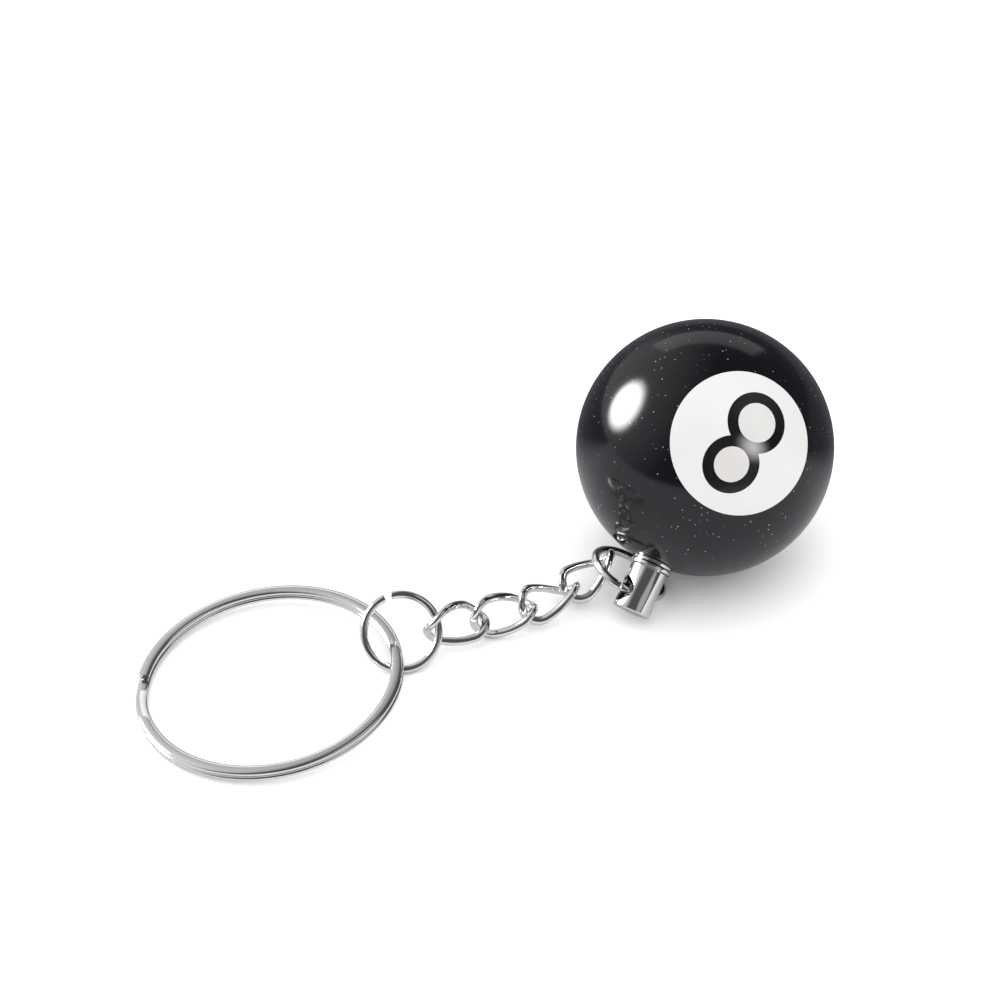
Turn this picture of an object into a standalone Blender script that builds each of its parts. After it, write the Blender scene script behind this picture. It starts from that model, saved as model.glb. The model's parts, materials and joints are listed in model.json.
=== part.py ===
"""Key chain with a numbered pool ball, modelled in metres with +Z up.

The chain lies on a flat surface at z = 0 and runs along X, from the key ring at -X
to the ball at +X. The origin is under the middle of the whole chain.

The ball and its number inlays are cast resin. A post screws into the ball, and a small
ring through the post's cross hole carries four twisted links, a jump ring and a
two-turn key ring.
"""

import math

import bpy
from mathutils import Matrix, Vector

MM = 0.001

# Ball and its two number inlays
BALL_DIAMETER = 25.0 * MM
SPOT_DIAMETER = 13.4 * MM
SPOT_DEPTH = 2.2 * MM  # from the ball's surface down to the spot's flat back
NUMERAL_DEPTH = 1.5 * MM  # from the spot's middle down to the numeral's flat back
NUMERAL_LINE = 1.0 * MM
BIG_LOOP_RADIUS = 2.85 * MM  # outside of the numeral's bottom loop
SMALL_LOOP_RADIUS = 2.65 * MM  # outside of the numeral's top loop
LOOP_SPACING = 4.55 * MM
NUMERAL_TURN = -7.0  # degrees that the numeral leans from the post's direction

# Post that screws into the ball
COLLAR_DIAMETER = 4.1 * MM
COLLAR_HEIGHT = 0.9 * MM
COLLAR_SEAT = 0.3 * MM  # depth of the flat seat in the ball, under the collar
POST_DIAMETER = 3.7 * MM
POST_LENGTH = 4.5 * MM
POST_CHAMFER = 0.15 * MM
CROSS_HOLE_DIAMETER = 2.6 * MM
CROSS_HOLE_TO_END = 1.75 * MM
STUD_DIAMETER = 2.0 * MM
STUD_PITCH = 0.4 * MM
THREAD_DEPTH = 0.22 * MM
STUD_IN_BALL = 5.0 * MM
STUD_IN_POST = 1.2 * MM

# Rings and links, all of round wire but for the key ring's flat wire
BAIL_DIAMETER = 8.2 * MM
BAIL_WIRE = 0.8 * MM
LINK_LENGTH = 6.85 * MM
LINK_WIDTH = 4.3 * MM
LINK_WIRE = 0.85 * MM
LINK_TWIST = -114.0  # degrees between a link's two ends
LINK_COUNT = 4
JUMP_RING_DIAMETER = 7.9 * MM
JUMP_RING_WIRE = 0.78 * MM
JUMP_RING_GAP = 0.6 * MM
KEY_RING_DIAMETER = 25.4 * MM
KEY_RING_WIDTH = 1.15 * MM
KEY_RING_TURN_HEIGHT = 0.56 * MM
KEY_RING_EASE = 0.14 * MM  # on the edges of its wire

# Clearances
INLAY_GAP = 0.06 * MM
SCREW_GAP = 0.06 * MM
WIRE_GAP = 0.24 * MM  # between two hooked wires
BAIL_SLACK = 0.55 * MM  # spare room where the last link hooks on the ring in the post
TURN_GAP = 0.05 * MM  # between the key ring's turns
RING_CUT = 0.12 * MM  # where a closed ring's wire ends meet

# How it lies: directions in degrees, azimuths anticlockwise from +X
POST_AZIMUTH = -148.2
POST_CLEARANCE = 0.13 * MM  # between the post's end and the surface the ball lies on
SPOT_TURN = -51.5  # the front spot, about the post's axis from the level direction
CROSS_HOLE_TURN = 50.2  # the cross hole, about the post's axis from the level direction
BAIL_SKEW = 7.5  # how far the ring leans in the cross hole
BAIL_FOLD = -3.0  # the fall of the ring's far side from level
BAIL_SEAM = 60.0  # where its wire ends meet
BAIL_HOOK = 36.0  # from the ring's end on the chain's side, towards its far side
LINK_HEADINGS = (2.0, -6.0, 7.0, 15.5)  # from the jump ring to the ball
LINK_ROLLS = (60.0, 36.0, 4.0, -4.0)
LINK_SINK = 0.15 * MM  # how far below half a link's width the joints between links lie
JUMP_RING_FACING = -104.3  # azimuth of the jump ring's face
JUMP_RING_LEAN = 47.5  # of its face, from level
JUMP_RING_HOOK = 0.0  # round the ring from its level line to the first link
JUMP_RING_SEAM = 103.0
JUMP_RING_OUTSET = 0.3 * MM  # from the key ring's outside to the jump ring's centre
JUMP_RING_AZIMUTH = -5.5
KEY_RING_LIFT = 0.65 * MM  # room between the key ring and the jump ring's wire under it
KEY_RING_END = 168.0  # azimuth of the coil's ends
KEY_RING_STEP = 26.0  # degrees over which the coil climbs one turn
KEY_RING_PARTING = 4.0  # degrees between an end and the climbing wire

# Facets
BALL_SEGMENTS = 56
SPOT_SEGMENTS = 64
ROUND_SEGMENTS = 40
BORE_SEGMENTS = 24
STUD_SEGMENTS = 20
WIRE_BEVEL = 2
RING_POINTS = 44
LINK_POINTS = 36
TURN_POINTS = 60
SMOOTH_ANGLE = 35.0
MERGE_DISTANCE = 0.01 * MM

BALL_RADIUS = BALL_DIAMETER / 2
BALL_FORM = "ball_form"  # the cutter that gives the inlays the ball's curve
OUTSIDE = 1.2 * BALL_RADIUS  # where cutters end, past the ball's surface
UP = Vector((0, 0, 1))


def clear_scene():
    for obj in list(bpy.data.objects):
        bpy.data.objects.remove(obj, do_unlink=True)


def make_collection(name):
    made = bpy.data.collections.new(name)
    bpy.context.scene.collection.children.link(made)
    return made


def make_material(name, colour, roughness, metallic=0.0):
    made = bpy.data.materials.new(name)
    made.use_nodes = True
    shader = made.node_tree.nodes["Principled BSDF"]
    shader.inputs["Base Color"].default_value = (*colour, 1.0)
    shader.inputs["Roughness"].default_value = roughness
    shader.inputs["Metallic"].default_value = metallic
    return made


def direction(azimuth, elevation):
    across = math.cos(math.radians(elevation))
    return Vector((
        across * math.cos(math.radians(azimuth)),
        across * math.sin(math.radians(azimuth)),
        math.sin(math.radians(elevation)),
    ))


def basis(x, y, z, origin=(0, 0, 0)):
    """A placement whose own axes are x, y and z."""
    turned = Matrix((x, y, z)).transposed().to_4x4()
    return Matrix.Translation(origin) @ turned


def turn(degrees, axis):
    return Matrix.Rotation(math.radians(degrees), 4, axis)


def make_joint(name, placement, parent, home):
    """An empty on a joint's axis, which is the empty's own Z. Its placement is in the world."""
    made = bpy.data.objects.new(name, None)
    made.empty_display_size = 2 * MM
    home.objects.link(made)
    return hang(made, parent, placement)


def hang(obj, parent, placement):
    """Parents an object and puts it at its place in the world."""
    obj.parent = parent
    bpy.context.view_layer.update()
    obj.matrix_world = placement
    return obj


def adopt(obj, name, home, parent=None, placement=None, material=None):
    """Names a new object and moves it to its collection, parent and place."""
    obj.name = name
    obj.data.name = name
    for old in list(obj.users_collection):
        old.objects.unlink(obj)
    home.objects.link(obj)
    obj.parent = parent
    obj.matrix_local = placement or Matrix.Identity(4)
    if material:
        obj.data.materials.clear()
        obj.data.materials.append(material)
    return obj


def smooth(obj):
    obj.data.shade_smooth()
    obj.data.set_sharp_from_angle(angle=math.radians(SMOOTH_ANGLE))
    return obj


def as_cutter(obj):
    obj.hide_render = True
    obj.display_type = "WIRE"
    return obj


def cylinder(radius, low, high, segments=ROUND_SEGMENTS):
    bpy.ops.mesh.primitive_cylinder_add(
        vertices=segments, radius=radius, depth=high - low, location=(0, 0, 0)
    )
    obj = bpy.context.object
    obj.data.transform(Matrix.Translation((0, 0, (low + high) / 2)))
    return obj


def turned(name, profile, steps=ROUND_SEGMENTS):
    """A solid of revolution about Z. The profile runs from the axis at the top to the axis
    at the bottom, or round a closed outline when the shape has a bore."""
    mesh = bpy.data.meshes.new(name)
    bored = profile[0][0] > 0
    count = len(profile)
    edges = [(i, (i + 1) % count) for i in range(count if bored else count - 1)]
    mesh.from_pydata([(r, 0, z) for r, z in profile], edges, [])
    obj = bpy.data.objects.new(name, mesh)
    bpy.context.scene.collection.objects.link(obj)
    screw = obj.modifiers.new("Turn", "SCREW")
    screw.axis = "Z"
    screw.steps = steps
    screw.render_steps = steps
    screw.use_merge_vertices = True
    screw.merge_threshold = MERGE_DISTANCE
    screw.use_normal_calculate = True
    return obj


def wire(name, points, thickness=None, closed=False, section=None):
    """A curve along the points with a round bevel, or with a section of its own."""
    curve = bpy.data.curves.new(name, "CURVE")
    curve.dimensions = "3D"
    spline = curve.splines.new("POLY")
    spline.points.add(len(points) - 1)
    for point, place in zip(spline.points, points):
        point.co = (*place, 1)
    spline.use_cyclic_u = closed
    spline.use_smooth = True
    curve.use_fill_caps = not closed
    if section:
        curve.twist_mode = "Z_UP"
        curve.bevel_mode = "OBJECT"
        curve.bevel_object = section
    else:
        curve.bevel_depth = thickness / 2
        curve.bevel_resolution = WIRE_BEVEL
    obj = bpy.data.objects.new(name, curve)
    bpy.context.scene.collection.objects.link(obj)
    return obj


def cut(obj, cutter, operation="DIFFERENCE"):
    boolean = obj.modifiers.new(cutter.name, "BOOLEAN")
    boolean.operation = operation
    boolean.solver = "EXACT"
    boolean.object = cutter
    return obj


# Number inlays. Each is modelled with the ball's centre at the origin and its own
# outward direction along +Z, with the numeral's top towards +Y.


def loops(grow=0.0):
    """Centre and outside radius of the numeral's two loops, made larger by grow."""
    span = LOOP_SPACING + BIG_LOOP_RADIUS + SMALL_LOOP_RADIUS
    low = -span / 2 + BIG_LOOP_RADIUS
    return (
        (low, BIG_LOOP_RADIUS + grow),
        (low + LOOP_SPACING, SMALL_LOOP_RADIUS + grow),
    )


def numeral_form(name, base, grow, cutters):
    """The numeral's outside outline, as a prism that rises past the ball's surface."""
    (low, big), (high, small) = loops(grow)
    form = cylinder(big, base, OUTSIDE)
    form.data.transform(Matrix.Translation((0, low, 0)))
    adopt(form, name, cutters)
    upper = cylinder(small, base, OUTSIDE)
    upper.data.transform(Matrix.Translation((0, high, 0)))
    as_cutter(adopt(upper, name + "_top_loop", cutters))
    return cut(form, upper, "UNION")


def place_cutters(cutters, parent, placement):
    for cutter in cutters:
        cutter.parent = parent
        cutter.matrix_local = placement


def make_inlay(side, frame, placement, home, cutters, materials):
    """One number spot with its numeral and the two centres of the numeral's loops.
    Returns the cutter for the ball's pocket."""
    spot_base = BALL_RADIUS - SPOT_DEPTH
    numeral_base = BALL_RADIUS - NUMERAL_DEPTH
    white, black = materials["inlay_white"], materials["inlay_black"]

    ball_form = bpy.data.objects[BALL_FORM]
    hollow = cylinder(SPOT_DIAMETER / 2, spot_base - INLAY_GAP, OUTSIDE, SPOT_SEGMENTS)
    pocket = adopt(hollow, side + "_spot_pocket", cutters)
    disc = cylinder(SPOT_DIAMETER / 2 - INLAY_GAP, spot_base, OUTSIDE, SPOT_SEGMENTS)
    spot = adopt(disc, side + "_number_spot", home, frame, placement, white)
    recess = numeral_form(side + "_numeral_recess", numeral_base - INLAY_GAP, 0.0, cutters)
    cut(spot, ball_form, "INTERSECT")
    cut(spot, recess)

    numeral = numeral_form(side + "_numeral_eight", numeral_base, -INLAY_GAP, cutters)
    upper = bpy.data.objects[side + "_numeral_eight_top_loop"]
    adopt(numeral, side + "_numeral_eight", home, frame, placement, black)
    cut(numeral, ball_form, "INTERSECT")
    moved = [pocket, recess, bpy.data.objects[recess.name + "_top_loop"], upper]

    for label, (offset, outside) in zip(("bottom", "top"), loops()):
        inside = outside - NUMERAL_LINE
        eye = cylinder(inside, numeral_base - NUMERAL_DEPTH, OUTSIDE)
        eye.data.transform(Matrix.Translation((0, offset, 0)))
        moved.append(adopt(eye, f"{side}_{label}_eye", cutters))
        cut(numeral, eye)
        centre = cylinder(inside - INLAY_GAP, numeral_base, OUTSIDE)
        centre.data.transform(Matrix.Translation((0, offset, 0)))
        adopt(centre, f"{side}_{label}_loop_centre", home, frame, placement, white)
        smooth(cut(centre, ball_form, "INTERSECT"))

    for cutter in moved:
        as_cutter(cutter)
    place_cutters(moved, frame, placement)
    smooth(spot)
    smooth(numeral)
    return pocket


# Ball and post. Both are modelled with the ball's centre at the origin and the post
# along -Z.


def seat_level():
    """Distance from the ball's centre to the flat under the collar."""
    return math.sqrt(BALL_RADIUS**2 - (COLLAR_DIAMETER / 2) ** 2) - COLLAR_SEAT


def post_start():
    return seat_level() + SCREW_GAP + COLLAR_HEIGHT + SCREW_GAP


def post_end():
    return post_start() + POST_LENGTH


def cross_hole_level():
    return post_end() - CROSS_HOLE_TO_END


def ball_sphere():
    bpy.ops.mesh.primitive_uv_sphere_add(
        segments=BALL_SEGMENTS, ring_count=BALL_SEGMENTS // 2, radius=BALL_RADIUS, location=(0, 0, 0)
    )
    return bpy.context.object


def make_ball(frame, home, cutters, materials):
    as_cutter(adopt(ball_sphere(), BALL_FORM, cutters, frame))
    ball = adopt(ball_sphere(), "ball_body", home, frame, None, materials["ball_resin"])

    # The spots stand square to the post, on opposite sides of the ball.
    facing = turn(SPOT_TURN, "Z") @ turn(90, "Y") @ turn(90, "Z")
    lean = turn(180 + NUMERAL_TURN, "Z")
    for side, half_turn in (("front", 0), ("back", 180)):
        placement = turn(half_turn, "Z") @ facing @ lean
        cut(ball, make_inlay(side, frame, placement, home, cutters, materials))

    seat = cylinder(COLLAR_DIAMETER / 2 + SCREW_GAP, -OUTSIDE, -seat_level())
    bore_end = seat_level() - STUD_IN_BALL - SCREW_GAP
    bore = cylinder(STUD_DIAMETER / 2 + SCREW_GAP, -OUTSIDE, -bore_end, BORE_SEGMENTS)
    for cutter, name in ((seat, "collar_seat"), (bore, "stud_bore")):
        cut(ball, as_cutter(adopt(cutter, name, cutters, frame)))
    return smooth(ball)


def make_post(frame, home, cutters, materials):
    chrome = materials["chrome"]
    bore = STUD_DIAMETER / 2 + SCREW_GAP

    # The collar has a groove round its middle.
    top = -seat_level() - SCREW_GAP
    rim = COLLAR_DIAMETER / 2
    step = COLLAR_HEIGHT / 6
    outline = [
        (bore, top), (rim - step, top), (rim, top - step), (rim, top - 2 * step),
        (rim - step, top - 3 * step), (rim, top - 4 * step), (rim, top - 5 * step),
        (rim - step, top - 6 * step), (bore, top - 6 * step),
    ]
    smooth(adopt(turned("collar", outline), "collar", home, frame, None, chrome))

    start, end, side = -post_start(), -post_end(), POST_DIAMETER / 2
    floor = start - STUD_IN_POST - SCREW_GAP
    outline = [
        (0, floor), (bore, floor), (bore, start), (side, start),
        (side, end + POST_CHAMFER), (side - POST_CHAMFER, end), (0, end),
    ]
    post = adopt(turned("post", outline), "post", home, frame, None, chrome)
    hole = cylinder(CROSS_HOLE_DIAMETER / 2, -POST_DIAMETER, POST_DIAMETER, BORE_SEGMENTS)
    along = turn(CROSS_HOLE_TURN, "Z") @ turn(90, "Y")
    hole_place = Matrix.Translation((0, 0, -cross_hole_level())) @ along
    cut(post, as_cutter(adopt(hole, "cross_hole", cutters, frame, hole_place)))
    smooth(post)

    # The stud's thread is drawn as rings, one for each turn.
    crest = STUD_DIAMETER / 2
    root = crest - THREAD_DEPTH
    high = -seat_level() + STUD_IN_BALL
    low = start - STUD_IN_POST
    turns = round((high - low) / STUD_PITCH)
    pitch = (high - low) / turns
    outline = [(0, high)]
    for i in range(turns):
        outline += [(root, high - i * pitch), (crest, high - (i + 0.5) * pitch)]
    outline += [(root, low), (0, low)]
    stud = turned("stud", outline, STUD_SEGMENTS)
    smooth(adopt(stud, "threaded_stud", home, frame, None, materials["steel"]))


# Rings and links. A ring is modelled in the XY plane round its own centre, and a link
# along X.


def ring_points(diameter, thickness, seam, gap):
    """Points round an open ring, from one end of its wire to the other."""
    radius = (diameter - thickness) / 2
    start = math.radians(seam) + gap / (2 * radius)
    sweep = 2 * math.pi - gap / radius
    angles = [start + sweep * i / (RING_POINTS - 1) for i in range(RING_POINTS)]
    return [(radius * math.cos(a), radius * math.sin(a), 0) for a in angles]


def link_points():
    """Points round a long link whose two ends are twisted opposite ways."""
    half = (LINK_LENGTH - LINK_WIRE) / 2
    bend = (LINK_WIDTH - LINK_WIRE) / 2
    straight = half - bend
    points = []
    quarter = LINK_POINTS // 2
    for side in (1, -1):
        for i in range(quarter):
            angle = -math.pi / 2 + math.pi * i / (quarter - 1)
            x = side * (straight + bend * math.cos(angle))
            y = side * bend * math.sin(angle)
            twist = math.radians(LINK_TWIST) / 2 * x / half
            points.append((x, y * math.cos(twist), y * math.sin(twist)))
    return points


def coil_points():
    """Points along the key ring's wire: two level turns joined by a short climb."""
    radius = (KEY_RING_DIAMETER - KEY_RING_WIDTH) / 2
    rise = KEY_RING_TURN_HEIGHT + TURN_GAP
    first = KEY_RING_STEP / 2 + KEY_RING_PARTING
    last = 720 - first
    count = 2 * TURN_POINTS
    points = []
    for i in range(count):
        angle = first + (last - first) * i / (count - 1)
        climb = min(max((angle - 360) / KEY_RING_STEP + 0.5, 0), 1)
        height = KEY_RING_TURN_HEIGHT / 2 + rise * climb * climb * (3 - 2 * climb)
        place = math.radians(angle + KEY_RING_END)
        points.append((radius * math.cos(place), radius * math.sin(place), height))
    return points


def flat_section(cutters):
    """The key ring's wire section: flat, with its four edges eased."""
    half_width, half_height = KEY_RING_WIDTH / 2, KEY_RING_TURN_HEIGHT / 2
    curve = bpy.data.curves.new("key_ring_section", "CURVE")
    curve.dimensions = "2D"
    spline = curve.splines.new("POLY")
    outline = []
    for sx, sy in ((1, 1), (1, -1), (-1, -1), (-1, 1)):
        corner = [
            (sx * (half_width - KEY_RING_EASE), sy * half_height),
            (sx * half_width, sy * (half_height - KEY_RING_EASE)),
        ]
        outline += corner if sx == sy else corner[::-1]
    spline.points.add(len(outline) - 1)
    for point, (x, y) in zip(spline.points, outline):
        point.co = (x, y, 0, 1)
    spline.use_cyclic_u = True
    obj = bpy.data.objects.new("key_ring_section", curve)
    cutters.objects.link(obj)
    return as_cutter(obj)


def ring_reach(diameter, thickness):
    """From a ring's centre to the middle of the joint with what hooks on it."""
    return diameter / 2 - thickness - WIRE_GAP / 2


LINK_REACH = LINK_LENGTH / 2 - LINK_WIRE - WIRE_GAP / 2


def key_ring_placement():
    """The key ring leans on the jump ring that passes under it."""
    toe = Matrix.Translation((-KEY_RING_DIAMETER / 2, 0, 0))
    across = turn(JUMP_RING_AZIMUTH, "Z")
    lift = Matrix.Rotation(-math.asin((JUMP_RING_WIRE + KEY_RING_LIFT) / KEY_RING_DIAMETER), 4, "Y")
    return across @ toe @ lift @ toe.inverted() @ across.inverted()


def jump_ring_placement():
    """Its X axis is its level line, and its Z axis is square to its face."""
    face = direction(JUMP_RING_FACING, 90 - JUMP_RING_LEAN)
    level = direction(JUMP_RING_FACING + 90, 0)
    rise = face.cross(level)
    radius = (JUMP_RING_DIAMETER - JUMP_RING_WIRE) / 2
    centre = direction(JUMP_RING_AZIMUTH, 0) * (KEY_RING_DIAMETER / 2 + JUMP_RING_OUTSET)
    centre.z = radius * abs(rise.z) + JUMP_RING_WIRE / 2
    return basis(level, rise, face, centre)


def bail_in_ball_frame():
    """Placement of the ring in the post's hole, seen from the ball's frame: X along the
    wire where it passes the hole, Y from the hole to the ring's centre."""
    ball_turn = ball_rotation().to_3x3()
    hole_axis = (turn(CROSS_HOLE_TURN, "Z") @ Vector((1, 0, 0))).to_3d()
    along = hole_axis * math.cos(math.radians(BAIL_SKEW)) + UP * math.sin(math.radians(BAIL_SKEW))
    back = ball_turn.inverted() @ direction(90, -BAIL_FOLD)
    across = (back - along * back.dot(along)).normalized()
    radius = (BAIL_DIAMETER - BAIL_WIRE) / 2
    centre = Vector((0, 0, -cross_hole_level())) + across * radius
    return basis(along, across, along.cross(across), centre)


def ball_rotation():
    """Turns the ball's frame, whose -Z is the post's direction, to how the ball lies: it
    has rolled over until the rim of the post's end is just off the surface."""
    rim = POST_DIAMETER / 2
    slope = math.asin((BALL_RADIUS - POST_CLEARANCE) / math.hypot(post_end(), rim))
    slope -= math.atan2(rim, post_end())
    down = direction(POST_AZIMUTH, -math.degrees(slope))
    level = UP.cross(down).normalized()
    return basis(level, -down.cross(level), -down)


def link_joints(start, end_height):
    """Places of the joints from the jump ring to the ring in the post. The first and the
    last link slope to meet their neighbours."""
    joints = [start]
    heights = [LINK_WIDTH / 2 - LINK_SINK] * (LINK_COUNT - 1) + [end_height]
    for heading, height in zip(LINK_HEADINGS, heights):
        fall = height - joints[-1].z
        along = math.sqrt((2 * LINK_REACH) ** 2 - fall**2)
        step = direction(heading, 0) * along
        joints.append(joints[-1] + step + Vector((0, 0, fall)))
    return joints


def link_placement(start, end, roll):
    along = (end - start).normalized()
    side = UP.cross(along).normalized()
    lean = Matrix.Rotation(math.radians(roll), 4, along)
    side = (lean @ side).normalized()
    return basis(along, side, along.cross(side), (start + end) / 2)


def lay_out():
    """Placements of the rings, links and ball, with the joints between them. The chain is
    centred by the circles at its two ends."""
    key = key_ring_placement()
    jump = jump_ring_placement()
    hook = turn(JUMP_RING_HOOK, "Z") @ Vector((ring_reach(JUMP_RING_DIAMETER, JUMP_RING_WIRE), 0, 0))
    start = jump @ hook

    ball = ball_rotation()
    ball.translation.z = BALL_RADIUS
    bail = bail_in_ball_frame()
    reach = ring_reach(BAIL_DIAMETER, BAIL_WIRE) - BAIL_SLACK
    hook = turn(180 - BAIL_HOOK, "Z") @ Vector((reach, 0, 0))
    joints = link_joints(start, (ball @ bail @ hook).z)
    ball.translation += (joints[-1] - ball @ bail @ hook) * Vector((1, 1, 0))
    links = [
        link_placement(joints[i], joints[i + 1], LINK_ROLLS[i]) for i in range(LINK_COUNT)
    ]

    ring = KEY_RING_DIAMETER / 2
    at = ball.translation
    across = (max(at.y + BALL_RADIUS, ring) + min(at.y - BALL_RADIUS, -ring)) / 2
    shift = Matrix.Translation((-(at.x + BALL_RADIUS - ring) / 2, -across, 0))
    return {
        "key": shift @ key,
        "jump": shift @ jump,
        "links": [shift @ link for link in links],
        "ball": shift @ ball,
        "bail": shift @ ball @ bail,
        "hooks": [shift @ Matrix.Translation(joint) for joint in joints],
    }


def cross_hole_joint(places):
    """The ball swings about the bail's wire where it passes the middle of the post."""
    bail = places["bail"].to_3x3()
    middle = places["ball"] @ Vector((0, 0, -cross_hole_level()))
    return basis(bail.col[2], bail.col[1], -bail.col[0], middle)


def main():
    clear_scene()
    home = make_collection("pool_ball_key_chain")
    cutters = make_collection("cutters")
    materials = {
        "ball_resin": make_material("ball_resin", (0.008, 0.006, 0.010), 0.08),
        "inlay_white": make_material("inlay_white", (0.86, 0.85, 0.83), 0.12),
        "inlay_black": make_material("inlay_black", (0.010, 0.010, 0.012), 0.12),
        "chrome": make_material("chrome", (0.80, 0.80, 0.81), 0.08, 1.0),
        "steel": make_material("steel", (0.60, 0.60, 0.60), 0.30, 1.0),
    }
    chrome = materials["chrome"]
    places = lay_out()
    hooks = places["hooks"]

    coil = wire("coil", coil_points(), section=flat_section(cutters))
    coil = adopt(coil, "key_ring", home, material=chrome)
    coil.matrix_world = places["key"]

    # The jump ring travels round the key ring, about the key ring's own centre.
    joint = make_joint("jump_ring_joint", places["key"], None, home)
    points = ring_points(JUMP_RING_DIAMETER, JUMP_RING_WIRE, JUMP_RING_SEAM, JUMP_RING_GAP)
    ring = adopt(wire("jump", points, JUMP_RING_WIRE), "jump_ring", home, material=chrome)
    hang(ring, joint, places["jump"])

    # Each link, and then the ring in the post, swings level where it hooks on the one before.
    for i, placement in enumerate(places["links"]):
        name = f"chain_link_{i + 1}"
        joint = make_joint(name + "_joint", hooks[i], joint, home)
        link = adopt(wire("link", link_points(), LINK_WIRE, closed=True), name, home, material=chrome)
        hang(link, joint, placement)

    joint = make_joint("bail_ring_joint", hooks[-1], joint, home)
    points = ring_points(BAIL_DIAMETER, BAIL_WIRE, BAIL_SEAM, RING_CUT)
    ring = adopt(wire("bail", points, BAIL_WIRE), "bail_ring", home, material=chrome)
    hang(ring, joint, places["bail"])

    joint = make_joint("ball_joint", cross_hole_joint(places), joint, home)
    ball_frame = make_joint("ball_frame", places["ball"], joint, home)
    make_ball(ball_frame, home, cutters, materials)
    make_post(ball_frame, home, cutters, materials)


main()
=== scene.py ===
import json
import math

import bpy
import numpy as np
from mathutils import Matrix, Vector


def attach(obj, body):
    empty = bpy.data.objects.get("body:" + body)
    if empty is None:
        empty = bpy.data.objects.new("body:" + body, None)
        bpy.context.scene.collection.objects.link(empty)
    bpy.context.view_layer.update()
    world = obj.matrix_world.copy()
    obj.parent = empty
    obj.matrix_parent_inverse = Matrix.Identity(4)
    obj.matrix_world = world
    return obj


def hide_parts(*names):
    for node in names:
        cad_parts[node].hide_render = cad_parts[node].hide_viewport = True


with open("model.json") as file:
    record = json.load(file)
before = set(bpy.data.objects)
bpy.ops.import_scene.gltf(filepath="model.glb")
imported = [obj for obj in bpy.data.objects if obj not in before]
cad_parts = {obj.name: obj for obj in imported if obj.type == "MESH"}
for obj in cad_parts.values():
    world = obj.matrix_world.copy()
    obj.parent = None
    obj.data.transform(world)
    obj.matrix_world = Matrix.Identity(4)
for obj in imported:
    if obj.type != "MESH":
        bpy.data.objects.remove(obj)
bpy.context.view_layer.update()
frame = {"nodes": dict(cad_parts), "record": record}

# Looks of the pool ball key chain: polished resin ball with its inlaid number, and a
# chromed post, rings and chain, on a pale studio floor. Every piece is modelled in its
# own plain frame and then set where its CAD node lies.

MM = 0.001
UP = Vector((0, 0, 1))

# Ball and inlays
BALL_RADIUS = 12.5 * MM
OUTSIDE = 1.2 * BALL_RADIUS  # where cutters end, past the ball's surface
SPOT_RADIUS = 6.7 * MM
SPOT_DEPTH = 2.2 * MM
NUMERAL_DEPTH = 1.5 * MM
NUMERAL_LINE = 1.0 * MM
BIG_LOOP_RADIUS = 2.85 * MM
SMALL_LOOP_RADIUS = 2.65 * MM
LOOP_SPACING = 4.55 * MM
SEAM = 0.012 * MM  # the glue line round an inlay
# Painted reflection: the numeral's waist is painted grey in place of the glare of a light in
# front; these numbers place and size that grey patch.
WAIST_SIDE = -0.8 * MM
WAIST_REACH = 2.0 * MM
WAIST_SQUASH = 1.3
WAIST_SHEEN = 0.9  # 1 for grey at the waist's middle
PAINTED_SHEEN_NAME = "painted_sheen"  # attribute: how much of the painted reflection grey each point of the numeral takes

# Post and collar
COLLAR_RADIUS = 2.05 * MM
COLLAR_HEIGHT = 0.9 * MM
COLLAR_SEAT = 0.3 * MM
SEAT_HEIGHT = math.sqrt(BALL_RADIUS**2 - COLLAR_RADIUS**2) - COLLAR_SEAT  # from the ball's centre
COLLAR_GROOVE = 0.16 * MM
COLLAR_EDGE = 0.07 * MM
POST_RADIUS = 1.85 * MM
POST_LENGTH = 4.5 * MM
POST_EDGE = 0.12 * MM
HOLE_EDGE = 0.03 * MM
CROSS_HOLE_RADIUS = 1.3 * MM
CROSS_HOLE_TO_END = 1.75 * MM
STUD_RADIUS = 1.0 * MM
STUD_IN_BALL = 5.0 * MM
SOCKET_DEPTH = 1.26 * MM
SCREW_GAP = 0.06 * MM

# Wire pieces
BAIL_RADIUS = 3.7 * MM
BAIL_WIRE = 0.4 * MM
BAIL_CUT = 0.12 * MM
JUMP_RADIUS = 3.56 * MM
JUMP_WIRE = 0.39 * MM
JUMP_GAP = 0.6 * MM
LINK_LENGTH = 6.85 * MM
LINK_WIDTH = 4.3 * MM
LINK_WIRE = 0.85 * MM
LINK_TWIST = -114.0
KEY_RADIUS = 12.125 * MM
KEY_WIDTH = 1.15 * MM
KEY_TURN_HEIGHT = 0.56 * MM
KEY_TURN_RISE = 0.61 * MM
KEY_END = 168.0
KEY_STEP = 26.0
KEY_PARTING = 4.0
KEY_EASE = 0.06 * MM
KEY_FULLNESS = 2.6  # 2 for an ellipse, more for a squarer section

CHAIN = ["chain_link_1", "chain_link_2", "chain_link_3", "chain_link_4"]

# Fineness of the meshes
BALL_SEGMENTS = 224
ROUND_SEGMENTS = 160
HOLE_SEGMENTS = 96
BEND_SEGMENTS = 96
RING_STEPS = 200
CLIMB_STEPS = 16
STRAIGHT_CUTS = 11
WIRE_SEGMENTS = 36
KEY_SEGMENTS = 48

# Studio: degrees, with azimuths counterclockwise from +X
# azimuth, elevation, half width, half height, roll, blur, strength
PANELS = [
    (60, 27, 25, 10.5, 0, 1.0, 0.6),
    (-33, 52, 17, 14, 0, 5, 0.5),
    (-72, 20, 15, 14, 0, 5, 0.3),
]
# azimuth, elevation, radius, blur, strength
LAMPS = [
    (137, 24, 15, 5, 30.0),
    (134, 26, 36, 34, 0.7),
]
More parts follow.
